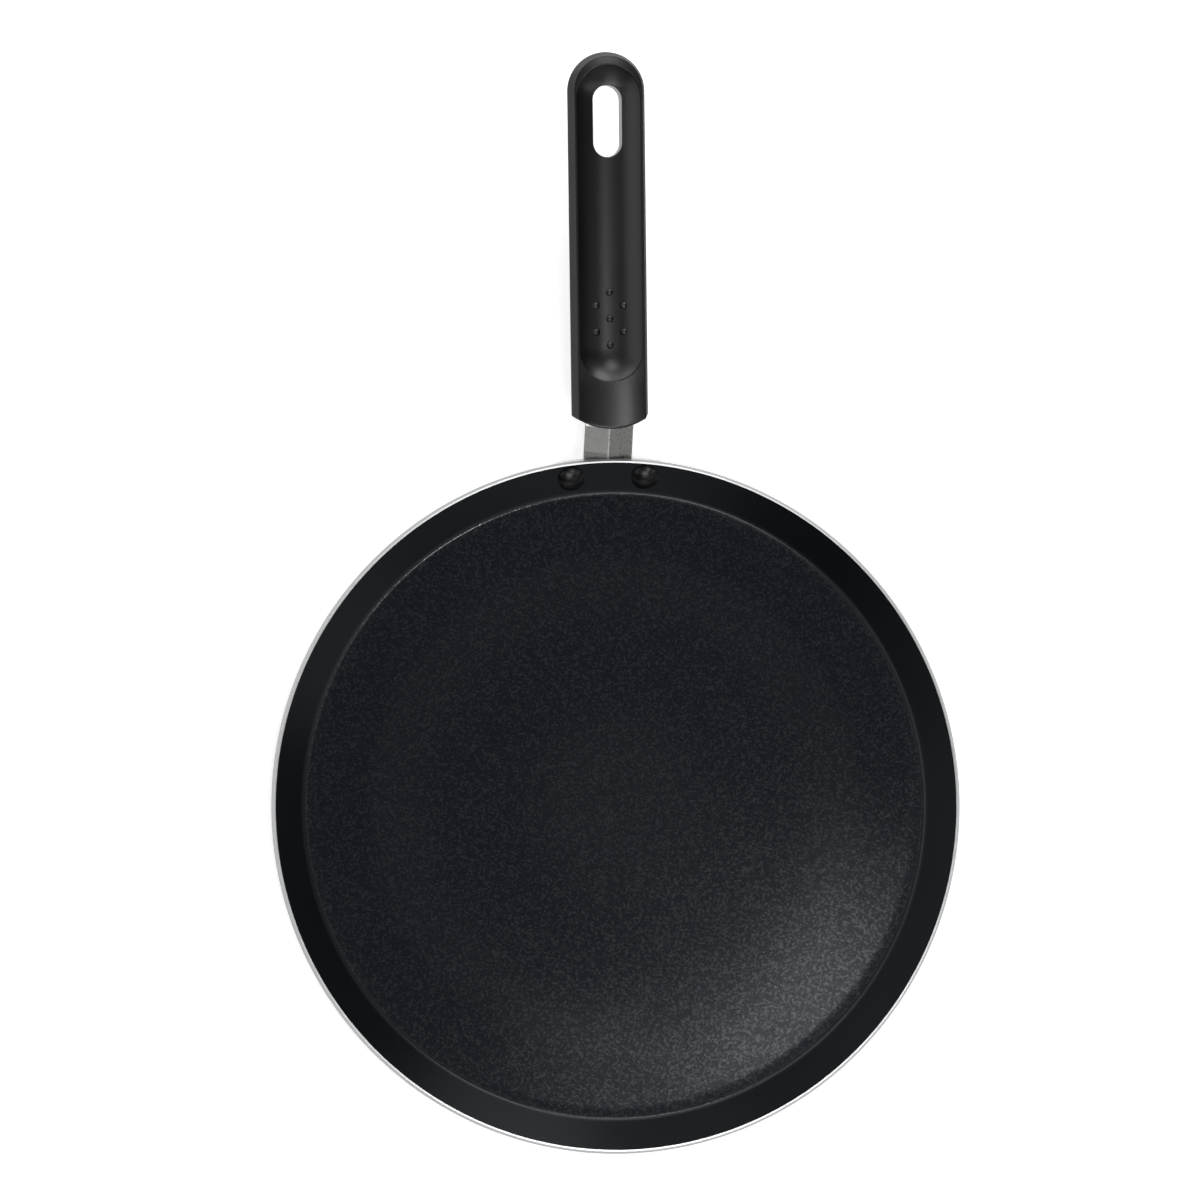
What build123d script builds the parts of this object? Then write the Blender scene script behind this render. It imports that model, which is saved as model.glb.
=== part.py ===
from build123d import *
import os
from math import asin, cos, degrees, radians, sin, sqrt, tan

# Crepe pan: a coated aluminium round with a low flared wall, a pressed bracket riveted to
# the outside of the wall, and a moulded grip that one screw clamps to the bracket's tongue.
# Millimetres, +Z up. The origin is the centre of the flat underside, and the grip points
# along +Y.

# Pan
pan_radius = 140.0  # over the rim
pan_depth = 9.5  # from the floor up to the inner corner of the rim
wall_thickness = 2.5
base_thickness = 3.5
wall_slope = 38.0  # degrees above the floor
rim_bevel = 0.45  # bare bevel along the inner corner of the rim
rim_round = 0.5  # outer corner of the rim
floor_round = 3.0  # the line that runs round the floor
floor_lift = 3.0  # degrees that the last of the floor rises towards that line
floor_lift_width = 4.0
floor_lift_round = 50.0
base_round = 6.0
ring_count = 6  # rings turned in the underside
ring_pitch = 13.0
ring_inset = 9.0  # from the edge of the flat underside to the outermost ring
ring_depth = 0.35

# Rivets
rivet_inset = 8.8  # from the end of the foot to a rivet
rivet_head_diameter = 10.8
rivet_head_height = 2.2
rivet_head_edge = 0.6  # straight edge below the dome
rivet_shank_diameter = 4.8
rivet_tail_diameter = 8.0
rivet_tail_height = 1.6
rivet_tail_round = 0.7

# Bracket
bracket_thickness = 2.5
bracket_width = 20.0
bracket_edge_round = 0.5
crease_rise = 1.3  # ridge above the two edges
crease_round = 2.0
crease_fade_rise = 0.4  # what is left of the crease where it runs out on the foot
foot_width = 48.0
foot_rim_gap = 0.8  # from the rim down to the foot, along the wall
foot_base_gap = 3.2  # from the foot down to the round of the base, along the wall
foot_round = 4.5
knee_reach = 12.4  # from the rim out to where the bracket bends
knee_round = 6.0
tongue_length = 30.0  # within the grip

# Grip
grip_rise = 10.0  # degrees
grip_length = 149.5
grip_width = 31.2
nose_cover = 1.0  # how far the tip of the nose passes the bend of the bracket
nose_radius = 25.9  # of the nose in plan
nose_edge_round = 0.9
tongue_drop = 0.6  # from the widest line of the grip down to the ridge of the tongue
crown_height = 9.6  # the next four are measured from the widest line
shoulder_height = 8.4
nose_depth = 9.8
tail_depth = 6.2
shoulder_inset = 2.0
shoulder_round = 6.0
waist_round = 9.0
belly_inset = 1.6
belly_round = 5.0
belly_start = 26.0  # where the underside begins to thin, from the nose
belly_run = 62.0
panel_width = 25.5
panel_start = 19.0
panel_end_wall = 5.7
panel_rim_level = 7.0  # bottom of the step round the panel, above the widest line
panel_edge_round = 0.35
dish_depth = 3.7  # below the step
slot_length = 28.3
slot_width = 11.5
slot_end_wall = 13.3
slot_edge_round = 0.5
bump_diameter = 3.0
bump_height = 0.7
bump_centre = 43.8  # middle of the seven, from the nose
bump_pitch = 10.5  # along the grip, between bumps of one row
bump_row_offset = 5.7  # from the middle row to each side row

# Screw and its washer
screw_diameter = 4.0
screw_tip_cover = 0.6  # air above the tip
screw_stand = 2.0  # tip above the ridge of the tongue
screw_setback = 11.5  # from the tip of the nose
screw_head_diameter = 8.0
screw_head_height = 2.2
screw_head_round = 0.8
screw_head_sink = 0.4  # below the underside of the grip
screw_tip_chamfer = 0.5
drive_length = 4.6
drive_width = 1.0
drive_depth = 1.2
washer_diameter = 7.6
washer_thickness = 1.0
washer_gap = 0.8  # the cut in the ring

# Clearances
film = 0.1  # between wall and foot, and under each rivet head
rivet_fit = 0.1
screw_fit = 0.2
thread_fit = 0.1
socket_fit = 0.15
counterbore_fit = 0.6
overrun = 2.0  # how far a cutting shape passes the face that it cuts

# Pan profile worked out from the sizes above
slope = radians(wall_slope)
rise = radians(grip_rise)
floor_height = base_thickness
rim_inner_radius = pan_radius - wall_thickness * sin(slope)
rim_inner_height = floor_height + pan_depth
rim_outer_height = rim_inner_height - wall_thickness * cos(slope)
floor_lift_height = floor_lift_width * tan(radians(floor_lift))
floor_radius = rim_inner_radius - (pan_depth - floor_lift_height) / tan(slope)
base_radius = pan_radius - rim_outer_height / tan(slope)
base_round_reach = base_round * tan(slope / 2)
base_flat_radius = base_radius - base_round_reach
base_corner = (base_radius, 0)
rim_outer_corner = (pan_radius, rim_outer_height)
rim_inner_corner = (rim_inner_radius, rim_inner_height)
floor_corner = (floor_radius, floor_height + floor_lift_height)
floor_lift_corner = (floor_radius - floor_lift_width, floor_height)
outer_wall_length = rim_outer_height / sin(slope) - base_round_reach


def wall_point(down, out):
    """Point on the middle of the handle side: down the outer wall from the rim, and out of it."""
    return Vector(
        0,
        pan_radius - down * cos(slope) + out * sin(slope),
        rim_outer_height - down * sin(slope) - out * cos(slope),
    )


# Foot and neck of the bracket
foot_top = foot_rim_gap
foot_bottom = outer_wall_length - foot_base_gap
foot_middle = (foot_top + foot_bottom) / 2
wall_direction = Vector(0, cos(slope), sin(slope))
tongue_direction = Vector(0, cos(rise), sin(rise))
tongue_normal = Vector(0, -sin(rise), cos(rise))
rivet_pitch = foot_width - 2 * rivet_inset
foot_turn = degrees(asin(foot_width / 2 / wall_point(foot_middle, 0).Y))
foot_corners = [
    wall_point(foot_top, film),
    wall_point(foot_bottom, film),
    wall_point(foot_bottom, film + bracket_thickness),
    wall_point(foot_top, film + bracket_thickness),
]
neck_foot = wall_point(foot_middle, film)
neck_rim = wall_point(0, film)
knee = neck_rim + wall_direction * (knee_reach / cos(slope))
tongue_end = knee + tongue_direction * (tongue_length - nose_cover)
socket_end = tongue_end + tongue_direction * socket_fit

# Grip frame: local x across, local y along the grip from the tip of the nose, local z up
grip_plane = Plane(
    origin=knee - tongue_direction * nose_cover + tongue_normal * tongue_drop,
    x_dir=(1, 0, 0),
    z_dir=tongue_normal,
)
side_plane = Plane(origin=grip_plane.origin, x_dir=tongue_direction, z_dir=(1, 0, 0))
half_width = grip_width / 2
loop_centre = grip_length - half_width
nose_corner = nose_radius - sqrt(nose_radius**2 - half_width**2)
panel_end = grip_length - panel_end_wall
panel_length = panel_end - panel_start
panel_half = panel_width / 2
dish_radius = (panel_half**2 + dish_depth**2) / (2 * dish_depth)
dish_centre_level = panel_rim_level - dish_depth + dish_radius
slot_centre = grip_length - slot_end_wall - slot_length / 2

middle_steps = (-1, 0, 1)
side_steps = (-1 / 2, 1 / 2)
bump_radius = ((bump_diameter / 2) ** 2 + bump_height**2) / (2 * bump_height)

# Screw, as levels in the grip frame
head_bottom = -nose_depth + screw_head_sink
washer_seat = head_bottom + screw_head_height + washer_thickness
screw_tip = -tongue_drop + screw_stand

# Rivets, as levels along their own axis from the outer wall
head_seat = wall_thickness + film
rivet_top = head_seat + rivet_head_height
tail_seat = -film - bracket_thickness
rivet_bottom = tail_seat - rivet_tail_height
head_radius = rivet_head_diameter / 2
tail_radius = rivet_tail_diameter / 2
dome_rise = rivet_head_height - rivet_head_edge
dome_radius = (head_radius**2 + dome_rise**2) / (2 * dome_rise)
rivet_hole_radius = rivet_shank_diameter / 2 + rivet_fit


def station(along):
    """Plane square to the grip at a distance from the nose, local x across and local y up."""
    return Plane(
        origin=grip_plane.from_local_coords((0, along, 0)),
        x_dir=(1, 0, 0),
        z_dir=-tongue_direction,
    )


def chevron(ridge_rise, clearance):
    """Section of the creased strip with the point of its ridge at the origin, grown by a clearance."""
    edge = bracket_width / 2 + clearance
    fall = ridge_rise * edge / (bracket_width / 2)
    under = bracket_thickness + clearance
    with BuildSketch() as section:
        with BuildLine():
            Polyline(
                (0, clearance),
                (edge, clearance - fall),
                (edge, -fall - under),
                (0, -under),
                (-edge, -fall - under),
                (-edge, clearance - fall),
                close=True,
            )
        make_face()
        fillet(section.vertices().filter_by(lambda v: abs(v.X) < film), crease_round)
        fillet(section.vertices().filter_by(lambda v: abs(v.X) > edge - film), bracket_edge_round)
    return section.sketch


def rivet_plane(side):
    """Plane on the outer wall at a rivet, local z pointing into the pan, local x along the wall."""
    seat = wall_point(foot_middle, 0)
    turn = -side * degrees(asin(rivet_pitch / 2 / seat.Y))
    inward = Vector(0, -sin(slope), cos(slope)).rotate(Axis.Z, turn)
    return Plane(origin=seat.rotate(Axis.Z, turn), x_dir=wall_direction.rotate(Axis.Z, turn), z_dir=inward)


def grip_section():
    """Section of the grip: crowned top, drafted sides, left square below where it is cut later."""
    shoulder_x = half_width - shoulder_inset
    belly_x = half_width - belly_inset
    with BuildSketch() as section:
        with BuildLine():
            ThreePointArc((-shoulder_x, shoulder_height), (0, crown_height), (shoulder_x, shoulder_height))
            Polyline(
                (shoulder_x, shoulder_height),
                (half_width, 0),
                (belly_x, -nose_depth - overrun),
                (-belly_x, -nose_depth - overrun),
                (-half_width, 0),
                (-shoulder_x, shoulder_height),
            )
        make_face()
        corners = section.vertices()
        fillet(corners.filter_by_position(Axis.Y, shoulder_height, shoulder_height), shoulder_round)
        fillet(corners.filter_by_position(Axis.Y, 0, 0), waist_round)
    return section.sketch


rivet_planes = {"rivet_left": rivet_plane(-1), "rivet_right": rivet_plane(1)}

# One round of sheet: flat floor, flared wall, rim cut square to the wall
with BuildPart() as pan_body:
    with BuildSketch(Plane.XZ) as pan_profile:
        with BuildLine():
            Polyline(
                (0, 0),
                base_corner,
                rim_outer_corner,
                rim_inner_corner,
                floor_corner,
                floor_lift_corner,
                (0, floor_height),
                close=True,
            )
        make_face()
        corners = pan_profile.vertices()
        fillet(corners.sort_by_distance(base_corner)[0], base_round)
        fillet(corners.sort_by_distance(rim_outer_corner)[0], rim_round)
        chamfer(corners.sort_by_distance(rim_inner_corner)[0], rim_bevel)
        fillet(corners.sort_by_distance(floor_corner)[0], floor_round)
        fillet(corners.sort_by_distance(floor_lift_corner)[0], floor_lift_round)
    revolve(axis=Axis.Z)

    # Rings left in the underside by turning
    with BuildSketch(Plane.XZ):
        for ring in range(ring_count):
            with Locations((base_flat_radius - ring_inset - ring * ring_pitch, 0)):
                Rectangle(ring_depth * sqrt(2), ring_depth * sqrt(2), rotation=45)
    revolve(axis=Axis.Z, mode=Mode.SUBTRACT)

    for plane in rivet_planes.values():
        with BuildSketch(plane):
            Circle(rivet_hole_radius)
        extrude(amount=wall_thickness + overrun, both=True, mode=Mode.SUBTRACT)

# Pressed bracket: a foot that follows the cone of the wall, and a creased neck and tongue
with BuildPart() as handle_bracket:
    with BuildSketch(Plane.YZ.rotated((0, 0, -foot_turn))):
        with BuildLine():
            Polyline(
                *[(corner.Y, corner.Z) for corner in foot_corners],
                close=True,
            )
        make_face()
    revolve(axis=Axis.Z, revolution_arc=2 * foot_turn)
    foot_ends = handle_bracket.edges().filter_by(lambda e: abs(e.length - bracket_thickness) < film)
    fillet(foot_ends, foot_round)
    foot_back = wall_point(foot_middle, film + bracket_thickness)
    fillet(handle_bracket.faces().sort_by_distance(foot_back)[0].edges(), bracket_edge_round)

    with BuildSketch(Plane(origin=neck_foot, x_dir=(-1, 0, 0), z_dir=wall_direction)):
        add(chevron(crease_fade_rise, 0))
    with BuildSketch(Plane(origin=neck_rim, x_dir=(-1, 0, 0), z_dir=wall_direction)):
        add(chevron(crease_rise, 0))
    loft()

    with BuildLine(Plane.YZ) as neck_line:
        FilletPolyline(
            (neck_rim.Y, neck_rim.Z),
            (knee.Y, knee.Z),
            (tongue_end.Y, tongue_end.Z),
            radius=knee_round,
        )
    with BuildSketch(Plane(origin=neck_rim, x_dir=(-1, 0, 0), z_dir=wall_direction)):
        add(chevron(crease_rise, 0))
    sweep(path=neck_line.line)

    for plane in rivet_planes.values():
        with BuildSketch(plane):
            Circle(rivet_hole_radius)
        extrude(amount=wall_thickness + bracket_thickness + overrun, both=True, mode=Mode.SUBTRACT)
    with BuildSketch(grip_plane):
        with Locations((0, screw_setback)):
            Circle(screw_diameter / 2 + thread_fit)
    extrude(amount=nose_depth, both=True, mode=Mode.SUBTRACT)

# Rivets: low dome inside the pan, shank through wall and foot, upset tail outside
rivets = {}
for name, plane in rivet_planes.items():
    with BuildPart() as rivet:
        with BuildSketch(Plane(origin=plane.origin, x_dir=plane.x_dir, z_dir=-plane.y_dir)) as half:
            with BuildLine():
                Polyline(
                    (0, rivet_top),
                    (0, rivet_bottom),
                    (tail_radius, rivet_bottom),
                    (tail_radius, tail_seat),
                    (rivet_shank_diameter / 2, tail_seat),
                    (rivet_shank_diameter / 2, head_seat),
                    (head_radius, head_seat),
                    (head_radius, head_seat + rivet_head_edge),
                )
                RadiusArc((head_radius, head_seat + rivet_head_edge), (0, rivet_top), -dome_radius)
            make_face()
            fillet(half.vertices().sort_by_distance((tail_radius, rivet_bottom))[0], rivet_tail_round)
        revolve(axis=Axis(plane.origin, plane.z_dir))
    rivets[name] = rivet

# The dish is the low part of a long round-ended bar laid along the grip
with BuildPart() as dish:
    with BuildSketch(station(panel_start + panel_half)):
        with Locations((0, dish_centre_level)):
            Circle(dish_radius)
    extrude(amount=panel_width - panel_length)
    with Locations(
        grip_plane.from_local_coords((0, panel_start + panel_half, dish_centre_level)),
        grip_plane.from_local_coords((0, panel_end - panel_half, dish_centre_level)),
    ):
        Sphere(dish_radius)
    split(bisect_by=grip_plane.offset(panel_rim_level), keep=Keep.BOTTOM)

# Moulded grip
with BuildPart() as handle_grip:
    # Straight body and half-round end, both from one section
    with BuildSketch(station(loop_centre)):
        add(grip_section())
    extrude(amount=loop_centre)
    with BuildSketch(station(loop_centre)):
        add(grip_section())
        split(bisect_by=Plane.YZ)
    revolve(axis=Axis(station(loop_centre).origin, tongue_normal), revolution_arc=180)

    # Underside: deep at the nose, thinning in a long curve towards the loop
    with BuildSketch(side_plane):
        with BuildLine():
            Line((-overrun, -nose_depth), (belly_start, -nose_depth))
            Spline(
                (belly_start, -nose_depth),
                (belly_start + belly_run, -tail_depth),
                tangents=((1, 0), (1, 0)),
            )
            Polyline(
                (belly_start + belly_run, -tail_depth),
                (grip_length + overrun, -tail_depth),
                (grip_length + overrun, -nose_depth - 2 * overrun),
                (-overrun, -nose_depth - 2 * overrun),
                (-overrun, -nose_depth),
            )
        make_face()
    extrude(amount=grip_width, both=True, mode=Mode.SUBTRACT)
    underside = handle_grip.faces().filter_by(lambda f: f.normal_at().dot(tongue_normal) < -1 / 2)
    belly_edges = underside.edges().filter_by(
        lambda e: abs(grip_plane.to_local_coords(e.center()).Y) > film
        and len([f for f in underside if e in f.edges()]) == 1
    )
    fillet(belly_edges, belly_round)

    # Nose, curved in plan
    with BuildSketch(grip_plane):
        with Locations((0, nose_corner / 2)):
            Rectangle(2 * grip_width, nose_corner + 2 * overrun)
        with Locations((0, nose_radius)):
            Circle(nose_radius, mode=Mode.SUBTRACT)
    extrude(amount=2 * nose_depth, both=True, mode=Mode.SUBTRACT)
    fillet(handle_grip.faces().sort_by_distance(grip_plane.origin)[0].edges(), nose_edge_round)

    # Panel on top: a straight step with a fine round along its edge, then the dish
    with BuildSketch(grip_plane.offset(panel_rim_level)):
        with Locations((0, panel_start + panel_length / 2)):
            SlotOverall(panel_length, panel_width, rotation=90)
    extrude(amount=crown_height, mode=Mode.SUBTRACT)
    step_edges = handle_grip.edges(Select.LAST).filter_by(Axis((0, 0, 0), tongue_normal), reverse=True)
    step_foot = panel_rim_level + film
    top_edges = step_edges.filter_by(lambda e: grip_plane.to_local_coords(e.center()).Z > step_foot)
    fillet(top_edges, panel_edge_round)
    add(dish.part, mode=Mode.SUBTRACT)

    # Hanging slot
    with BuildSketch(grip_plane):
        with Locations((0, slot_centre)):
            SlotOverall(slot_length, slot_width, rotation=90)
    extrude(amount=crown_height + nose_depth, both=True, mode=Mode.SUBTRACT)
    fillet(
        handle_grip.edges(Select.LAST).filter_by(Axis((0, 0, 0), tongue_normal), reverse=True),
        slot_edge_round,
    )

    # Seven thumb bumps on the dish: three in the middle row, two in each side row
    for across, steps in ((0, middle_steps), (-bump_row_offset, side_steps), (bump_row_offset, side_steps)):
        bump_top = dish_centre_level - sqrt(dish_radius**2 - across**2) + bump_height
        for step in steps:
            bump = (across, bump_centre + step * bump_pitch, bump_top - bump_radius)
            with Locations(grip_plane.from_local_coords(bump)):
                Sphere(bump_radius)

    # Socket for the tongue and its bend, and the counterbored hole for the screw below it
    with BuildLine(Plane.YZ) as socket_line:
        FilletPolyline(
            (socket_end.Y, socket_end.Z),
            (knee.Y, knee.Z),
            (neck_rim.Y, neck_rim.Z),
            radius=knee_round,
        )
    with BuildSketch(Plane(origin=socket_end, x_dir=(1, 0, 0), z_dir=-tongue_direction)):
        add(chevron(crease_rise, socket_fit))
    sweep(path=socket_line.line, mode=Mode.SUBTRACT)
    for radius, top in (
        (washer_diameter / 2 + counterbore_fit, washer_seat),
        (screw_diameter / 2 + screw_fit, screw_tip + screw_tip_cover),
    ):
        with BuildSketch(grip_plane.offset(-nose_depth - overrun)):
            with Locations((0, screw_setback)):
                Circle(radius)
        extrude(amount=top + nose_depth + overrun, mode=Mode.SUBTRACT)

# Screw from below: round head with a cross recess, shank through washer, grip and tongue
with BuildPart() as handle_screw:
    with BuildSketch(grip_plane.offset(head_bottom)):
        with Locations((0, screw_setback)):
            Circle(screw_head_diameter / 2)
    extrude(amount=screw_head_height)
    fillet(handle_screw.faces().sort_by(Axis((0, 0, 0), tongue_normal))[0].edges(), screw_head_round)
    with BuildSketch(grip_plane.offset(head_bottom + screw_head_height)):
        with Locations((0, screw_setback)):
            Circle(screw_diameter / 2)
    extrude(amount=screw_tip - head_bottom - screw_head_height)
    chamfer(handle_screw.faces().sort_by(Axis((0, 0, 0), tongue_normal))[-1].edges(), screw_tip_chamfer)
    with BuildSketch(grip_plane.offset(head_bottom)):
        with Locations((0, screw_setback)):
            Rectangle(drive_length, drive_width)
            Rectangle(drive_width, drive_length)
    extrude(amount=drive_depth, mode=Mode.SUBTRACT)

# Split ring under the head
with BuildPart() as lock_washer:
    with BuildSketch(grip_plane.offset(washer_seat - washer_thickness)):
        with Locations((0, screw_setback)):
            Circle(washer_diameter / 2)
            Circle(screw_diameter / 2 + screw_fit, mode=Mode.SUBTRACT)
            Rectangle(washer_diameter, washer_gap, align=(Align.MIN, Align.CENTER), mode=Mode.SUBTRACT)
    extrude(amount=washer_thickness)

pieces = {
    "pan_body": pan_body,
    "handle_bracket": handle_bracket,
    **rivets,
    "handle_grip": handle_grip,
    "handle_screw": handle_screw,
    "lock_washer": lock_washer,
}
os.makedirs("parts", exist_ok=True)
for name, piece in pieces.items():
    piece.part.label = name
    export_step(piece.part, f"parts/{name}.step")
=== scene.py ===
from math import asin, cos, pi, radians, sin, tan

import bmesh
import bpy
from mathutils import Matrix, Vector


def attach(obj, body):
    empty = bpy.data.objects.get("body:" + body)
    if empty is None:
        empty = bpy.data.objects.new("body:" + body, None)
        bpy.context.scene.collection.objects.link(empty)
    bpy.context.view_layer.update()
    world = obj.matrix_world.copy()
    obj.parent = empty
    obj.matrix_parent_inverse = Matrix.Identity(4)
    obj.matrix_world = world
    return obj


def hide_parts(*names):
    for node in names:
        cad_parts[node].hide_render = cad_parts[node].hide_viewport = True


# Crepe pan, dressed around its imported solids. Metres, +Z up, grip along +Y.

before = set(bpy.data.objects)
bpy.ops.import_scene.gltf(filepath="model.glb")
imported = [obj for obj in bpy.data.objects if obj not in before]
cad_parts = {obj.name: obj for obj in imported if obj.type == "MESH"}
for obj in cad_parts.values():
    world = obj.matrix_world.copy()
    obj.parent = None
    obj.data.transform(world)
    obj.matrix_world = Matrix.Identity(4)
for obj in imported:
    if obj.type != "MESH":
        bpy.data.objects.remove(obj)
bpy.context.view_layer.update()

MM = 0.001

# Pan, as it is pressed and turned
PAN_RADIUS = 140.0 * MM
PAN_DEPTH = 9.5 * MM
WALL_THICKNESS = 2.5 * MM
BASE_THICKNESS = 3.5 * MM
WALL_SLOPE = radians(38.0)
RIM_BEVEL = 0.45 * MM
RIM_ROUND = 0.5 * MM
RIM_LIP = 0.5 * MM  # bare metal on the outside, below the round of the rim
FLOOR_ROUND = 3.0 * MM
FLOOR_LIFT = radians(3.0)
FLOOR_LIFT_WIDTH = 4.0 * MM
FLOOR_LIFT_ROUND = 50.0 * MM
FLOOR_WAVE_STEP = 3.0 * MM
# Faint waves that pressing leaves in the floor: millimetres from the middle, and slope outwards in degrees
FLOOR_WAVES = (
    (0, 0.0), (20, 0.45), (35, 0.0), (50, 0.15), (65, 0.28),
    (80, -0.1), (92, -0.5), (104, -0.95), (115, -0.65), (125, -0.3),
)
BASE_ROUND = 6.0 * MM
RING_COUNT = 6
RING_PITCH = 13.0 * MM
RING_INSET = 9.0 * MM
RING_DEPTH = 0.35 * MM
PAN_SEGMENTS = 288

# Rivets, and the foot of the bracket that they hold
RIVET_COUNT = 2
RIVET_PITCH = 30.4 * MM
RIVET_HEAD_RADIUS = 5.4 * MM
RIVET_HEAD_HEIGHT = 2.2 * MM
RIVET_HEAD_EDGE = 0.6 * MM
RIVET_SHANK_RADIUS = 2.4 * MM
RIVET_TAIL_RADIUS = 4.0 * MM
RIVET_TAIL_HEIGHT = 1.6 * MM
RIVET_TAIL_ROUND = 0.7 * MM
RIVET_DOME_STEPS = 14
RIVET_SEGMENTS = 64
BRACKET_THICKNESS = 2.5 * MM
FILM = 0.1 * MM  # between wall and foot, and under each rivet head
FOOT_RIM_GAP = 0.8 * MM
FOOT_BASE_GAP = 3.2 * MM

# Grip frame, for patterns that follow the grip: nose, rise, and how far the loop's centre is from the nose
GRIP_ORIGIN = Vector((0.0, 151.373, 21.056)) * MM
GRIP_RISE = radians(10.0)
GRIP_LOOP_CENTRE = 134.5 * MM

# Where one look eases into the next. On the pan, from its centre line:
# the floor's paler middle and band, a painted sheen:
PAINTED_SHEEN_MIDDLE_EDGE = (18.0 * MM, 48.0 * MM)
PAINTED_SHEEN_BAND_START = (70.0 * MM, 86.0 * MM)
PAINTED_SHEEN_BAND_END = (97.0 * MM, 104.0 * MM)
BEVEL_EDGE = (PAN_RADIUS - 1.32 * MM, PAN_RADIUS - 1.16 * MM)
# either side of the round between floor and wall, where its highlight is painted:
ROUND_HIGHLIGHT_EDGE = (0.5 * MM, 1.6 * MM)
# on the bracket, from its crease:
CREASE_EDGE = (0.15 * MM, 0.45 * MM)
SHADED_HALF_EDGE = (-0.2 * MM, 0.2 * MM)
BRACKET_SIDE = (9.4 * MM, 9.8 * MM)
# on the grip, out from its middle line:
FLANK_START = (12.3 * MM, 13.5 * MM)
DISH_EDGE = (9.5 * MM, 10.5 * MM)
# along it, from the nose and from the centre of the loop:
NOSE_END = (14.0 * MM, 24.0 * MM)
DISH_END = (1.0 * MM, 4.0 * MM)
LOOP_END = (5.0 * MM, 10.0 * MM)
# and up from its middle plane:
WORN_LEVEL = (6.0 * MM, 9.0 * MM)

ARC_STEP = radians(4.0)  # the most that one facet of a round turns
SHARP = radians(28.0)  # edges that turn by more than this stay crisp
WELD = 0.002 * MM

# Studio
WHITE = (1.0, 1.0, 1.0)
BLACK = (0.0, 0.0, 0.0)
FLOOR_GLOW = (0.58, 0.58, 0.58)
FLOOR_GLOW_RISE = (0.6, 2.2)  # distances from the pan between which the glow goes up to white
FLOOR_REACH = 6.0
FLOOR_SIDES = 96
FLOOR_DROP = 0.05 * MM
HORIZON = (0.02, 0.16)  # sines of the elevations between which the room goes from white to black
LAMP_DISTANCE = 2.0
LAMP_AIM = Vector((0.0, 0.05, 0.0))
# Overhead boxes: name, place, width, depth and power in watts
OVERHEAD_BOXES = (
    ("overhead_key", (0.37, -0.28, 1.5), 0.28, 0.14, 0.41),
    ("overhead_key_right", (0.44, -0.14, 1.5), 0.14, 0.14, 0.09),
    ("overhead_key_middle", (0.30, -0.14, 1.5), 0.14, 0.14, 0.04),
    ("overhead_key_left", (0.16, -0.28, 1.5), 0.14, 0.14, 0.08),
    ("overhead_near", (0.44, -0.42, 1.5), 0.14, 0.14, 1.87),
    ("overhead_panel", (0.16, 0.0, 1.5), 0.70, 0.70, 0.55),
    ("overhead_far", (0.15, 0.78, 1.6), 0.50, 0.40, 3.4),
)
# Rings of boxes round the table: name, elevation, width, height, and power at each azimuth
RING_BOXES = (
    ("high", 57.0, 0.85, 0.50, {135: 0.45, 180: 1.7, 225: 0.4, 270: 7.85, 315: 0.3}),
    (
        "middle", 42.0, 0.78, 0.50,
        {30: 0.4, 60: 6.4, 90: 3.1, 120: 4.1, 150: 1.5, 180: 1.5, 210: 1.5, 270: 2.3, 330: 2.2},
    ),
    ("lower", 27.0, 0.93, 0.50, {60: 2.9, 90: 0.55, 300: 1.3}),
    ("low", 13.0, 1.02, 0.45, {150: 2.5, 180: 2.5, 270: 1.3, 330: 0.75}),
)

# Camera: almost straight above the pan, a little to its left
CAMERA_PLACE = Vector((-159.65, 8.37, 1288.47)) * MM
CAMERA_SIDE = Vector((0.992438, -0.033790, 0.118001))
CAMERA_UP = Vector((0.026699, 0.997771, 0.061161))
CAMERA_BACK = Vector((-0.119804, -0.057548, 0.991128))
CAMERA_REACH = (0.01, 50.0)
SENSOR_WIDTH = 36.0
FOCAL_PIXELS = 3186.9799
FRAME_PIXELS = 1200.0

SINE = sin(WALL_SLOPE)
COSINE = cos(WALL_SLOPE)

rim_inner_radius = PAN_RADIUS - WALL_THICKNESS * SINE
rim_inner_height = BASE_THICKNESS + PAN_DEPTH
rim_outer_height = rim_inner_height - WALL_THICKNESS * COSINE
floor_lift_height = FLOOR_LIFT_WIDTH * tan(FLOOR_LIFT)
floor_radius = rim_inner_radius - (PAN_DEPTH - floor_lift_height) / tan(WALL_SLOPE)
base_radius = PAN_RADIUS - rim_outer_height / tan(WALL_SLOPE)
base_round_reach = BASE_ROUND * tan(WALL_SLOPE / 2)
base_flat_radius = base_radius - base_round_reach
outer_wall_length = rim_outer_height / SINE - base_round_reach


# Node trees

class Signal:
    """The output of a node. An expression on signals adds its Math nodes to their tree."""

    def __init__(self, graph, socket):
        self.graph = graph
        self.socket = socket

    def __getitem__(self, name):
        return Signal(self.graph, self.socket.node.outputs[name])

    def __add__(self, other):
        return self.graph.maths("ADD", self, other)

    def __sub__(self, other):
        return self.graph.maths("SUBTRACT", self, other)

    def __mul__(self, other):
        return self.graph.maths("MULTIPLY", self, other)

    def __truediv__(self, other):
        return self.graph.maths("DIVIDE", self, other)

    def __radd__(self, other):
        return self.graph.maths("ADD", other, self)

    def __rsub__(self, other):
        return self.graph.maths("SUBTRACT", other, self)

    def __rmul__(self, other):
        return self.graph.maths("MULTIPLY", other, self)

    def __rtruediv__(self, other):
        return self.graph.maths("DIVIDE", other, self)


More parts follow.
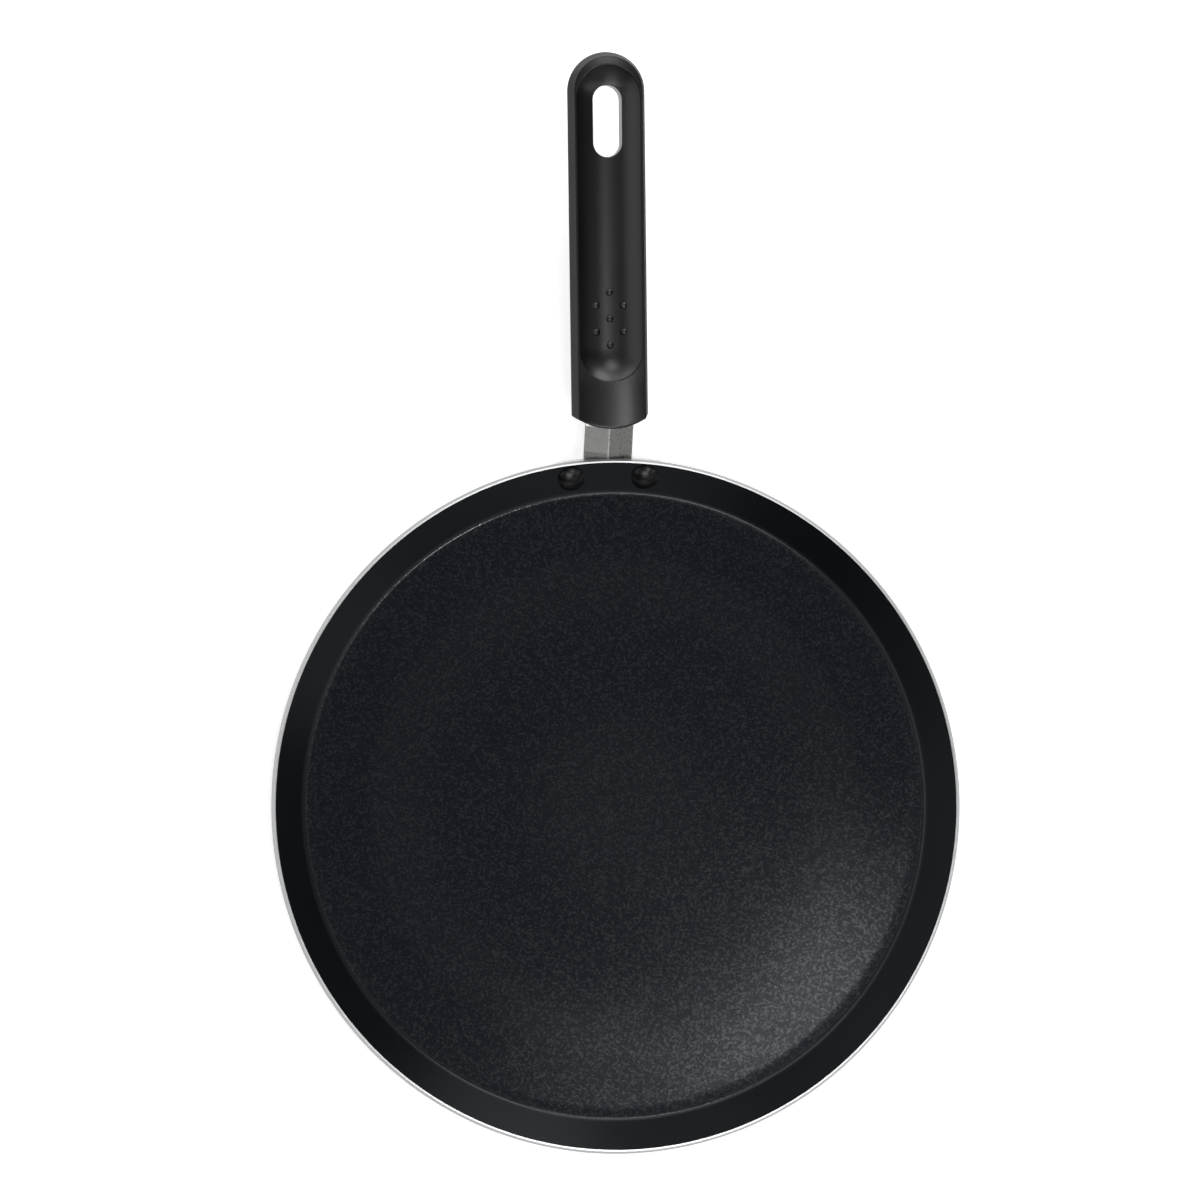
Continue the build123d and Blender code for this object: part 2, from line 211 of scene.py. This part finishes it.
class Graph:
    """A node tree that is filled node by node."""

    def __init__(self, tree):
        self.tree = tree

    def node(self, kind, settings=None, inputs=None):
        """Adds a node: its settings first, then the values or links of its inputs."""
        made = self.tree.nodes.new(kind)
        for key, value in (settings or {}).items():
            setattr(made, key, value)
        for key, value in (inputs or {}).items():
            self.feed(made.inputs[key], value)
        return Signal(self, made.outputs[0]) if made.outputs else None

    def feed(self, socket, value):
        """Links a signal to a socket, or sets the socket's value. A colour comes without alpha."""
        if isinstance(value, Signal):
            self.tree.links.new(value.socket, socket)
        elif socket.type == "RGBA":
            socket.default_value = (*value, 1.0)
        else:
            socket.default_value = value

    def maths(self, operation, *values):
        return self.node("ShaderNodeMath", {"operation": operation}, dict(enumerate(values)))

    def root(self, value):
        return self.maths("SQRT", value)

    def larger(self, one, other):
        return self.maths("MAXIMUM", one, other)

    def between(self, value, low, high, start=0.0, end=1.0):
        """Eases from start to end as the value goes from low to high."""
        settings = {"interpolation_type": "SMOOTHSTEP"}
        return self.node("ShaderNodeMapRange", settings, {0: value, 1: low, 2: high, 3: start, 4: end})

    def fading(self, value, low, high):
        """Eases from 1 to 0 as the value goes from low to high."""
        return self.between(value, low, high, 1.0, 0.0)

    def scaled(self, vector, factors):
        return self.node("ShaderNodeVectorMath", {"operation": "MULTIPLY"}, {0: vector, 1: factors})

    def vector(self, x, y, z):
        return self.node("ShaderNodeCombineXYZ", {}, {"X": x, "Y": y, "Z": z})

    def parts(self, vector):
        split = self.node("ShaderNodeSeparateXYZ", {}, {"Vector": vector})
        return split["X"], split["Y"], split["Z"]

    def mixed(self, share, one, other):
        """Colour between one and the other."""
        inputs = {"Factor": share, "A": one, "B": other}
        return self.node("ShaderNodeMix", {"data_type": "RGBA"}, inputs)["Result"]


class Finish(Graph):
    """A material whose patterns lie in the object's own coordinates."""

    def __init__(self, name):
        self.material = bpy.data.materials.new(name)
        self.material.use_nodes = True
        super().__init__(self.material.node_tree)
        self.tree.nodes.clear()
        self.place = self.node("ShaderNodeTexCoord")["Object"]

    def radius(self):
        """Distance from the pan's centre line."""
        x, y, _ = self.parts(self.place)
        return self.root(x * x + y * y)

    def turned_place(self, share):
        """Place for marks that run round the pan: only a share of the angle counts, so they are long."""
        x, y, z = self.parts(self.place)
        return self.vector(self.maths("ARCTAN2", y, x) * share, self.radius(), z)

    def noise(self, place, scale, detail=2.0, roughness=0.5):
        inputs = {"Vector": place, "Scale": scale, "Detail": detail, "Roughness": roughness}
        return self.node("ShaderNodeTexNoise", {}, inputs)

    def cells(self, scale):
        return self.node("ShaderNodeTexVoronoi", {}, {"Vector": self.place, "Scale": scale})

    def bump(self, height, depth, under=None):
        """Relief of the given depth, on top of the relief under it."""
        inputs = {"Height": height, "Distance": depth}
        if under:
            inputs["Normal"] = under
        return self.node("ShaderNodeBump", {}, inputs)

    def shader(self, **inputs):
        """A Principled shader. Underscores in the names stand for spaces."""
        named = {name.replace("_", " "): value for name, value in inputs.items()}
        return self.node("ShaderNodeBsdfPrincipled", {}, named)

    def covered(self, shader):
        """Ends the tree in a shader."""
        self.node("ShaderNodeOutputMaterial", {}, {"Surface": shader})
        return self.material

    def done(self, **inputs):
        """Ends the tree in one Principled shader."""
        return self.covered(self.shader(**inputs))


# Finishes

def with_round_highlight(f, colour):
    """Paler colour on the round between floor and wall: a painted highlight."""
    off_round = f.maths("ABSOLUTE", f.radius() - floor_radius)
    return f.mixed(f.fading(off_round, *ROUND_HIGHLIGHT_EDGE), colour, (0.0120, 0.0130, 0.0145))


def floor_coating():
    """Non-stick coating of the cooking surface: blue-black, with the glitter of mineral flakes."""
    f = Finish("coating_floor")
    blue_black, green_black = (0.0023, 0.0030, 0.0060), (0.0019, 0.0034, 0.0056)
    painted_sheen, fleck = (0.0058, 0.0066, 0.0096), (0.0060, 0.0074, 0.0098)
    radius = f.radius()
    grain = f.noise(f.place, 1000.0)
    flake = f.parts(f.cells(1400.0)["Color"])[0]
    cloud = f.noise(f.place, 17.0, 3.0, 0.6)
    # Paler in the middle and in a band part way out: painted sheen.
    middle = f.fading(radius, *PAINTED_SHEEN_MIDDLE_EDGE)
    band = f.between(radius, *PAINTED_SHEEN_BAND_START, end=0.6) * f.fading(radius, *PAINTED_SHEEN_BAND_END)
    colour = f.mixed(f.between(cloud, 0.35, 0.65), blue_black, green_black)
    # Paler on the round between floor and wall: a painted highlight.
    colour = with_round_highlight(f, f.mixed(f.larger(middle, band), colour, painted_sheen))
    return f.done(
        Base_Color=f.mixed(f.between(flake, 0.55, 1.0, end=0.35), colour, fleck),
        Roughness=0.11 + 0.06 * grain + 0.03 * flake + 0.02 * cloud,
        Specular_IOR_Level=0.25,
        Specular_Tint=(0.87, 0.93, 1.0),
        Normal=f.bump(grain + 0.05 * flake, 0.010 * MM),
        Coat_Weight=f.between(flake, 0.45, 1.0, end=0.62),
        Coat_Roughness=0.15,
    )


def wall_coating():
    """The same coating where the wall flares: stretched smooth, with hardly any grain."""
    f = Finish("coating_wall")
    blue_black, green_black = (0.0030, 0.0038, 0.0048), (0.0024, 0.0032, 0.0041)
    fine = f.noise(f.place, 900.0)
    cloud = f.noise(f.place, 30.0)
    # The round's painted highlight runs onto the wall's colour too.
    return f.done(
        Base_Color=with_round_highlight(f, f.mixed(f.between(cloud, 0.35, 0.65), blue_black, green_black)),
        Roughness=0.22 + 0.05 * fine + 0.03 * cloud,
        Specular_IOR_Level=0.32,
        Specular_Tint=(0.88, 0.93, 1.0),
        Normal=f.bump(fine, 0.004 * MM),
    )


def bare_rim():
    """Trimmed edge with fine cutter lines: bright on the bevel, darker beyond it, a painted shade."""
    f = Finish("rim_bare_aluminium")
    lines = f.noise(f.turned_place(0.02), 9000.0, 3.0)
    cloud = f.noise(f.place, 60.0, 3.0)
    bevel = f.mixed(lines, (0.72, 0.73, 0.74), (0.86, 0.86, 0.87))
    # Darker grey beyond the bevel: painted shade.
    outer_painted_shade = f.mixed(lines, (0.33, 0.335, 0.34), (0.45, 0.45, 0.455))
    return f.done(
        Base_Color=f.mixed(f.between(f.radius(), *BEVEL_EDGE), bevel, outer_painted_shade),
        Roughness=0.28 + 0.16 * lines + 0.06 * cloud,
        Metallic=1.0,
        Normal=f.bump(lines, 0.006 * MM),
    )


def bare_base():
    """Underside: aluminium turned flat, with close rings and faint heat stains."""
    f = Finish("base_turned_aluminium")
    dark, light, brown = (0.46, 0.46, 0.47), (0.64, 0.64, 0.65), (0.36, 0.33, 0.29)
    lines = f.noise(f.turned_place(0.004), 4200.0, 4.0, 0.6)
    cut = f.noise(f.turned_place(0.002), 700.0)
    stain = f.noise(f.place, 22.0, 4.0, 0.6)
    scuff = f.noise(f.scaled(f.place, (1.0, 0.06, 1.0)), 900.0, 3.0, 0.7)
    worn = f.between(scuff, 0.62, 0.72)
    return f.done(
        Base_Color=f.mixed(f.between(stain, 0.50, 0.75, end=0.35), f.mixed(lines, dark, light), brown),
        Roughness=0.30 + 0.15 * lines + 0.10 * stain + 0.06 * worn,
        Metallic=1.0,
        Normal=f.bump(worn, 0.004 * MM, f.bump(lines + cut, 0.008 * MM)),
    )


def outer_coating():
    """Heat-resistant coat on the outside of the wall: satin black, with the skin of sprayed paint."""
    f = Finish("coating_outside")
    skin = f.noise(f.place, 420.0)
    fine = f.noise(f.place, 1800.0)
    cloud = f.noise(f.place, 24.0, 3.0)
    return f.done(
        Base_Color=f.mixed(cloud, (0.008, 0.008, 0.009), (0.013, 0.013, 0.014)),
        Roughness=0.34 + 0.10 * cloud + 0.05 * fine,
        Specular_IOR_Level=0.45,
        Normal=f.bump(skin + 0.3 * fine, 0.012 * MM),
    )


def rivet_coating():
    """Coating over the rivets: as on the wall, with hardly any relief."""
    f = Finish("coating_rivet")
    fine = f.noise(f.place, 1500.0)
    cloud = f.noise(f.place, 260.0)
    return f.done(
        Base_Color=f.mixed(cloud, (0.0022, 0.0026, 0.0032), (0.0042, 0.0047, 0.0055)),
        Roughness=0.23 + 0.04 * cloud + 0.03 * fine,
        Specular_IOR_Level=0.30,
        Normal=f.bump(fine, 0.0008 * MM),
    )


def bracket_metal():
    """Pressed metal left bare: mottled grey; lighter on its left half and darker on its right, painted
    light and shade, with painted highlights along its crease and its edges.
    """
    f = Finish("bracket_bare_metal")
    dull_and_painted_shade, rubbed_and_painted_light, mottled = (0.32, 0.32, 0.31), (0.54, 0.54, 0.525), (0.66, 0.66, 0.64)
    stained, bright = (0.33, 0.32, 0.30), (0.84, 0.84, 0.82)
    across = f.parts(f.place)[0]
    off_crease = f.maths("ABSOLUTE", across)
    mottle = f.noise(f.place, 900.0, 3.0, 0.6)
    pits = f.cells(1500.0)["Distance"]
    drawn = f.noise(f.scaled(f.place, (1.0, 0.08, 0.08)), 2600.0, 3.0)
    stain = f.noise(f.place, 120.0, 3.0)
    # Lighter along the crease and the side edges: painted highlights.
    painted_highlights = f.larger(f.fading(off_crease, *CREASE_EDGE), f.between(off_crease, *BRACKET_SIDE, end=0.6))
    # Lighter left half and darker right half: painted light and painted shade.
    colour = f.mixed(f.fading(across, *SHADED_HALF_EDGE), dull_and_painted_shade, rubbed_and_painted_light)
    colour = f.mixed(f.between(mottle, 0.34, 0.66, end=0.3), colour, mottled)
    colour = f.mixed(f.between(stain, 0.5, 0.8, end=0.3), colour, stained)
    return f.done(
        Base_Color=f.mixed(painted_highlights, colour, bright),
        Roughness=0.22 + 0.08 * mottle + 0.05 * drawn,
        Metallic=1.0,
        Normal=f.bump(drawn, 0.003 * MM, f.bump(mottle + 0.25 * pits, 0.007 * MM)),
    )


def grip_plastic():
    """Thermoset moulding: satin black, finely eroded, polished where the hand rubs; its flanks and the end
    of its dish take a duller copy that is painted shade, on the flanks partly the moulding's own duller
    skin.
    """
    f = Finish("grip_moulded_plastic")
    frame_of_grip = {"Vector": f.place, "Location": GRIP_ORIGIN, "Rotation": (GRIP_RISE, 0.0, 0.0)}
    along = f.node("ShaderNodeMapping", {"vector_type": "TEXTURE"}, frame_of_grip)
    across, length, level = f.parts(along)
    past_loop = f.larger(length - GRIP_LOOP_CENTRE, 0.0)
    off_middle = f.root(across * across + past_loop * past_loop)
    skin = f.noise(along, 1500.0, 3.0, 0.6)
    cloud = f.noise(along, 35.0, 3.0, 0.6)
    flow = f.between(f.noise(f.scaled(along, (1.0, 0.12, 1.0)), 160.0, 3.0), 0.3, 0.7)
    hairline = f.noise(f.scaled(along, (1.0, 0.03, 1.0)), 2600.0)
    worn = f.between(level, *WORN_LEVEL) * f.between(cloud, 0.3, 0.7)
    nose = f.fading(length, *NOSE_END)
    flank = f.between(off_middle, *FLANK_START) * f.between(past_loop, *LOOP_END, 1.0, 0.82)
    dish_end = f.between(past_loop, *DISH_END, end=0.65) * f.fading(off_middle, *DISH_EDGE)
    relief = f.bump(skin, 0.006 * MM)
    rubbed_and_painted_light = f.shader(
        Base_Color=f.mixed(flow, (0.0028, 0.0028, 0.0031), (0.0048, 0.0048, 0.0051)),
        Roughness=0.245 + 0.05 * cloud + 0.05 * skin - 0.03 * worn - 0.07 * nose + 0.03 * hairline,
        Specular_IOR_Level=0.58,
        Normal=relief,
    )
    dull_and_painted_shade = f.shader(
        Base_Color=f.mixed(flow, (0.013, 0.013, 0.014), (0.017, 0.017, 0.018)),
        Roughness=0.55 + 0.05 * cloud + 0.05 * skin,
        Specular_IOR_Level=0.10,
        Normal=relief,
    )
    # Flanks and the end of the dish take the duller copy: painted shade, on the flanks partly the
    # moulding's own duller skin.
    dull_skin_and_painted_shade = f.larger(flank, dish_end)
    return f.covered(f.node("ShaderNodeMixShader", {}, {0: dull_skin_and_painted_shade, 1: rubbed_and_painted_light, 2: dull_and_painted_shade}))


def plated_steel(name, light, dark):
    """Zinc plate on the screw and its washer."""
    f = Finish(name)
    cloud = f.noise(f.place, 500.0, 3.0, 0.6)
    fine = f.noise(f.scaled(f.place, (1.0, 0.2, 1.0)), 4000.0, 3.0)
    return f.done(
        Base_Color=f.mixed(f.between(cloud, 0.35, 0.65), dark, light),
        Roughness=0.26 + 0.14 * cloud + 0.08 * fine,
        Metallic=1.0,
        Normal=f.bump(fine + 0.5 * cloud, 0.006 * MM),
    )


FLOOR_COATING = floor_coating()
WALL_COATING = wall_coating()
BARE_RIM = bare_rim()
BARE_BASE = bare_base()
OUTER_COATING = outer_coating()
RIVET_COATING = rivet_coating()
BRACKET_METAL = bracket_metal()
GRIP_PLASTIC = grip_plastic()
SCREW_STEEL = plated_steel("screw_plated_steel", (0.62, 0.61, 0.57), (0.44, 0.43, 0.40))
WASHER_STEEL = plated_steel("washer_plated_steel", (0.50, 0.50, 0.48), (0.33, 0.33, 0.32))


# Sections of the turned pieces, as points of radius and height

def rounded(corners, rounds):
    """Points of an open outline whose inner corners are cut by arcs of the given radii."""
    points = [Vector(corners[0])]
    for before, corner, after, radius in zip(corners, corners[1:], corners[2:], rounds):
        corner = Vector(corner)
        back = (Vector(before) - corner).normalized()
        ahead = (Vector(after) - corner).normalized()
        half = back.angle(ahead) / 2
        centre = corner + (back + ahead).normalized() * (radius / sin(half))
        start = corner + back * (radius / tan(half)) - centre
        end = corner + ahead * (radius / tan(half)) - centre
        turn = start.angle_signed(end)
        steps = max(3, round(abs(turn) / ARC_STEP))
        points += [centre + Matrix.Rotation(-turn * step / steps, 2) @ start for step in range(steps + 1)]
    return points + [Vector(corners[-1])]


def wall_point(down):
    """Radius and height of a point on the outer wall, at a distance down from the rim."""
    return Vector((PAN_RADIUS - down * COSINE, rim_outer_height - down * SINE))


def floor_waves(edge):
    """Points of the floor from its edge to the middle, along its faint waves."""
    steps = round(edge / FLOOR_WAVE_STEP)
    step = edge / steps
    points = []
    height = BASE_THICKNESS
    for number in range(1, steps + 1):
        middle = (edge - (number - 0.5) * step) / MM
        for (near, slope), (far, next_slope) in zip(FLOOR_WAVES, FLOOR_WAVES[1:]):
            if near <= middle <= far:
                height -= step * radians(slope + (next_slope - slope) * (middle - near) / (far - near))
        points.append(Vector((edge - number * step, height)))
    return points


def pan_stretches():
    """The pan's section from the middle of the base round the rim to the middle of the floor."""
    base = [Vector((0.0, 0.0))]
    for ring in reversed(range(RING_COUNT)):
        middle = base_flat_radius - RING_INSET - ring * RING_PITCH
        base += [Vector((middle + side * RING_DEPTH, (1 - abs(side)) * RING_DEPTH)) for side in (-1, 0, 1)]
    lip = wall_point(RIM_ROUND + RIM_LIP)
    inner_corner = Vector((rim_inner_radius, rim_inner_height))
    bevel_outer = inner_corner + RIM_BEVEL * Vector((SINE, -COSINE))
    bevel_inner = inner_corner - RIM_BEVEL * Vector((COSINE, SINE))
    outside = rounded([base[-1], (base_radius, 0.0), lip], [BASE_ROUND])
    rim = rounded([lip, (PAN_RADIUS, rim_outer_height), bevel_outer], [RIM_ROUND])
    inside = rounded(
        [
            bevel_inner,
            (floor_radius, BASE_THICKNESS + floor_lift_height),
            (floor_radius - FLOOR_LIFT_WIDTH, BASE_THICKNESS),
            (0.0, BASE_THICKNESS),
        ],
        [FLOOR_ROUND, FLOOR_LIFT_ROUND],
    )
    wall = [p for p in inside if p.x > floor_radius]
    floor = [p for p in inside[:-1] if p.x <= floor_radius]
    floor += floor_waves(floor[-1].x)
    return [
        (BARE_BASE, base),
        (OUTER_COATING, outside[1:-1]),
        (BARE_RIM, rim),
        (WALL_COATING, wall),
        (FLOOR_COATING, floor),
    ]


def rivet_stretches():
    """A rivet's section from the top of its dome down to the end of its tail."""
    head_seat = WALL_THICKNESS + FILM
    tail_seat = -FILM - BRACKET_THICKNESS
    tail_end = tail_seat - RIVET_TAIL_HEIGHT
    rise = RIVET_HEAD_HEIGHT - RIVET_HEAD_EDGE
    dome_radius = (RIVET_HEAD_RADIUS**2 + rise**2) / (2 * rise)
    dome_centre = head_seat + RIVET_HEAD_HEIGHT - dome_radius
    reach = asin(RIVET_HEAD_RADIUS / dome_radius)
    angles = [reach * step / RIVET_DOME_STEPS for step in range(RIVET_DOME_STEPS + 1)]
    dome = [Vector((dome_radius * sin(angle), dome_centre + dome_radius * cos(angle))) for angle in angles]
    shank = [
        Vector((RIVET_HEAD_RADIUS, head_seat)),
        Vector((RIVET_SHANK_RADIUS, head_seat)),
        Vector((RIVET_SHANK_RADIUS, tail_seat)),
    ]
    tail = rounded(
        [(RIVET_TAIL_RADIUS, tail_seat), (RIVET_TAIL_RADIUS, tail_end), (0.0, tail_end)], [RIVET_TAIL_ROUND]
    )
    return [(RIVET_COATING, dome + shank + tail)]


# Turned pieces

def added(name, data):
    """A new object in the scene."""
    made = bpy.data.objects.new(name, data)
    bpy.context.scene.collection.objects.link(made)
    return made


def outline_object(name, stretches):
    """A mesh of edges along a section. Each point knows the finish of the stretch that it starts."""
    mesh = bpy.data.meshes.new(name)
    points = [(p.x, p.y, 0.0) for _, stretch in stretches for p in stretch]
    mesh.from_pydata(points, [(i, i + 1) for i in range(len(points) - 1)], [])
    order = [number for number, (_, stretch) in enumerate(stretches) for _ in stretch]
    mesh.attributes.new("finish", "INT", "POINT").data.foreach_set("value", order)
    return added(name, mesh)


def new_tree(name, sizes):
    """A Geometry Nodes tree with a geometry input, named sizes and a geometry output."""
    tree = bpy.data.node_groups.new(name, "GeometryNodeTree")
    tree.interface.new_socket("Geometry", in_out="INPUT", socket_type="NodeSocketGeometry")
    for label, kind, value in sizes:
        tree.interface.new_socket(label, in_out="INPUT", socket_type=kind).default_value = value
    tree.interface.new_socket("Geometry", in_out="OUTPUT", socket_type="NodeSocketGeometry")
    graph = Graph(tree)
    return tree, graph, graph.node("NodeGroupInput")


def finish_number(g):
    """The number of the finish, stored on a section's points and on the faces turned from it."""
    return g.node("GeometryNodeInputNamedAttribute", {"data_type": "INT"}, {"Name": "finish"})


def turning_tree():
    """Turns a section, given as radius and height, about the vertical axis."""
    tree, g, given = new_tree("turning", [("Segments", "NodeSocketInt", RIVET_SEGMENTS)])
    section, segments = given["Geometry"], given["Segments"]
    count = g.node("GeometryNodeAttributeDomainSize", {"component": "MESH"}, {0: section})["Point Count"]
    sheet = g.node("GeometryNodeMeshGrid", {}, {"Vertices X": segments + 1, "Vertices Y": count})

    # The sheet's points, and its faces, are numbered along the section first and then round
    index = g.node("GeometryNodeInputIndex")
    turn = g.maths("FLOOR", (index + 0.5) / count)
    sample = {"data_type": "FLOAT_VECTOR", "domain": "POINT"}
    position = g.node("GeometryNodeInputPosition")
    inputs = {"Geometry": section, "Value": position, "Index": index - turn * count}
    radius, height, _ = g.parts(g.node("GeometryNodeSampleIndex", sample, inputs))
    angle = turn * (2 * pi) / segments
    place = g.vector(radius * g.maths("COSINE", angle), radius * g.maths("SINE", angle), height)
    sheet = g.node("GeometryNodeSetPosition", {}, {"Geometry": sheet, "Position": place})

    spans = count - 1
    start = index - g.maths("FLOOR", (index + 0.5) / spans) * spans
    sample = {"data_type": "INT", "domain": "POINT"}
    inputs = {"Geometry": section, "Value": finish_number(g), "Index": start}
    finish = g.node("GeometryNodeSampleIndex", sample, inputs)
    store = {"data_type": "INT", "domain": "FACE"}
    inputs = {"Geometry": sheet, "Name": "finish", "Value": finish}
    sheet = g.node("GeometryNodeStoreNamedAttribute", store, inputs)
    sheet = g.node("GeometryNodeMergeByDistance", {}, {"Geometry": sheet, "Distance": WELD})
    g.node("NodeGroupOutput", {}, {0: sheet})
    return tree


TURNING = turning_tree()


def turned(g, given):
    """The turning tree as one node of another tree, fed from that tree's own inputs."""
    inputs = {"Geometry": given["Geometry"], "Segments": given["Segments"]}
    return g.node("GeometryNodeGroup", {"node_tree": TURNING}, inputs)


def painted(g, shape, stretches):
    """Realises a shape and gives each stretch of it its finish."""
    shape = g.node("GeometryNodeRealizeInstances", {}, {0: shape})
    chosen = {"data_type": "INT", "operation": "EQUAL"}
    named = finish_number(g)
    for number, (finish, _) in enumerate(stretches):
        here = g.node("FunctionNodeCompare", chosen, {"A": named, "B": number})
        inputs = {"Geometry": shape, "Selection": here, "Material": finish}
        shape = g.node("GeometryNodeSetMaterial", {}, inputs)
    g.node("NodeGroupOutput", {}, {0: shape})


def made_solid(name, stretches, tree, sizes):
    """Runs a tree on a section and keeps its result as a plain mesh with smooth turned faces."""
    maker = outline_object(f"{name}_outline", stretches)
    modifier = maker.modifiers.new(tree.name, "NODES")
    modifier.node_group = tree
    values = {label: value for label, _, value in sizes}
    for item in tree.interface.items_tree:
        if item.in_out == "INPUT" and item.name in values:
            modifier[item.identifier] = values[item.name]
    evaluated = bpy.context.evaluated_depsgraph_get()
    mesh = bpy.data.meshes.new_from_object(maker.evaluated_get(evaluated), depsgraph=evaluated)
    maker.modifiers.clear()
    bpy.data.objects.remove(maker)
    shell = bmesh.new()
    shell.from_mesh(mesh)
    bmesh.ops.recalc_face_normals(shell, faces=shell.faces)
    shell.to_mesh(mesh)
    shell.free()
    mesh.name = name
    piece = added(name, mesh)
    mesh.shade_smooth()
    mesh.set_sharp_from_angle(angle=SHARP)
    piece.modifiers.new("even_shading", "WEIGHTED_NORMAL").keep_sharp = True
    return piece


def make_pan():
    stretches = pan_stretches()
    sizes = [("Segments", "NodeSocketInt", PAN_SEGMENTS)]
    tree, g, given = new_tree("pan_turning", sizes)
    painted(g, turned(g, given), stretches)
    return made_solid("pan", stretches, tree, sizes)


def make_rivets():
    """A row of rivets round the wall, square to it."""
    stretches = rivet_stretches()
    seat = wall_point((FOOT_RIM_GAP + outer_wall_length - FOOT_BASE_GAP) / 2)
    sizes = [
        ("Count", "NodeSocketInt", RIVET_COUNT),
        ("Seat radius", "NodeSocketFloat", seat.x),
        ("Seat height", "NodeSocketFloat", seat.y),
        ("Pitch", "NodeSocketFloat", RIVET_PITCH),
        ("Wall slope", "NodeSocketFloat", WALL_SLOPE),
        ("Segments", "NodeSocketInt", RIVET_SEGMENTS),
    ]
    tree, g, given = new_tree("riveting", sizes)
    radius = given["Seat radius"]
    step = g.node("GeometryNodeInputIndex") - (given["Count"] - 1) * 0.5
    turn = 2 * g.maths("ARCSINE", given["Pitch"] * 0.5 / radius) * step
    place = g.vector(radius * g.maths("SINE", turn), radius * g.maths("COSINE", turn), given["Seat height"])
    row = g.node("GeometryNodePoints", {}, {"Count": given["Count"]})
    row = g.node("GeometryNodeSetPosition", {}, {"Geometry": row, "Position": place})
    tilt = g.node("FunctionNodeEulerToRotation", {}, {0: g.vector(given["Wall slope"], 0.0, 0 - turn)})
    inputs = {"Points": row, "Instance": turned(g, given), "Rotation": tilt}
    painted(g, g.node("GeometryNodeInstanceOnPoints", {}, inputs), stretches)
    return made_solid("rivets", stretches, tree, sizes)


def dress(node, finish):
    """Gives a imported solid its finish."""
    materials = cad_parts[node].data.materials
    materials.clear()
    materials.append(finish)


pan = make_pan()
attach(pan, "root")
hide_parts("pan_body")

rivets = make_rivets()
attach(rivets, "root")
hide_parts("rivet_left", "rivet_right")

dress("handle_bracket", BRACKET_METAL)
dress("handle_grip", GRIP_PLASTIC)
dress("handle_screw", SCREW_STEEL)
dress("lock_washer", WASHER_STEEL)


# Studio

def floor_paint():
    """Pale floor. It keeps the shadow and looks white where it is lit."""
    f = Finish("studio_floor")
    colour = f.mixed(f.noise(f.place, 3.0), (0.86, 0.86, 0.86), (0.90, 0.90, 0.90))
    paint = f.node("ShaderNodeBsdfDiffuse", {}, {"Color": colour})
    path = f.node("ShaderNodeLightPath")
    seen = f.larger(path["Is Camera Ray"], f.larger(path["Is Glossy Ray"], path["Is Transmission Ray"]))
    light = f.mixed(f.between(f.radius(), *FLOOR_GLOW_RISE), FLOOR_GLOW, WHITE)
    glow = f.node("ShaderNodeEmission", {}, {"Color": light, "Strength": seen})
    return f.covered(f.node("ShaderNodeAddShader", {}, {0: paint, 1: glow}))


def make_floor():
    mesh = bpy.data.meshes.new("floor")
    shell = bmesh.new()
    bmesh.ops.create_circle(shell, cap_ends=True, radius=FLOOR_REACH, segments=FLOOR_SIDES)
    bmesh.ops.translate(shell, verts=shell.verts, vec=(0.0, 0.0, -FLOOR_DROP))
    shell.to_mesh(mesh)
    shell.free()
    mesh.materials.append(floor_paint())
    added("floor", mesh)


def make_world():
    """Dim room: white low down, black overhead."""
    world = bpy.data.worlds.new("studio")
    bpy.context.scene.world = world
    world.use_nodes = True
    w = Graph(world.node_tree)
    w.tree.nodes.clear()
    height = w.parts(w.node("ShaderNodeTexCoord")["Generated"])[2]
    colour = w.mixed(w.between(height, *HORIZON), WHITE, BLACK)
    sky = w.node("ShaderNodeBackground", {}, {"Color": colour, "Strength": 1.0})
    w.node("ShaderNodeOutputWorld", {}, {"Surface": sky})


def make_lamp(name, place, width, height, power):
    """A soft box that faces the pan. Power in watts."""
    light = bpy.data.lights.new(name, "AREA")
    light.shape = "RECTANGLE"
    light.size = width
    light.size_y = height
    light.energy = power
    facing = (place - LAMP_AIM).to_track_quat("Z", "Y").to_matrix().to_4x4()
    added(name, light).matrix_world = Matrix.Translation(place) @ facing


def make_lamps():
    for name, place, width, depth, power in OVERHEAD_BOXES:
        make_lamp(name, Vector(place), width, depth, power)
    for name, elevation, width, height, powers in RING_BOXES:
        out = LAMP_DISTANCE * cos(radians(elevation))
        up = LAMP_DISTANCE * sin(radians(elevation))
        for azimuth, power in powers.items():
            turn = radians(azimuth)
            place = LAMP_AIM + Vector((out * cos(turn), out * sin(turn), up))
            make_lamp(f"{name}_box_{azimuth}", place, width, height, power)


def make_camera():
    lens = bpy.data.cameras.new("camera")
    lens.sensor_width = SENSOR_WIDTH
    lens.lens = SENSOR_WIDTH * FOCAL_PIXELS / FRAME_PIXELS
    lens.clip_start, lens.clip_end = CAMERA_REACH
    made = added("camera", lens)
    turn = Matrix((CAMERA_SIDE, CAMERA_UP, CAMERA_BACK)).transposed().to_4x4()
    made.matrix_world = Matrix.Translation(CAMERA_PLACE) @ turn
    bpy.context.scene.camera = made


make_floor()
make_world()
make_lamps()
make_camera()
bpy.context.scene.view_settings.view_transform = "Standard"
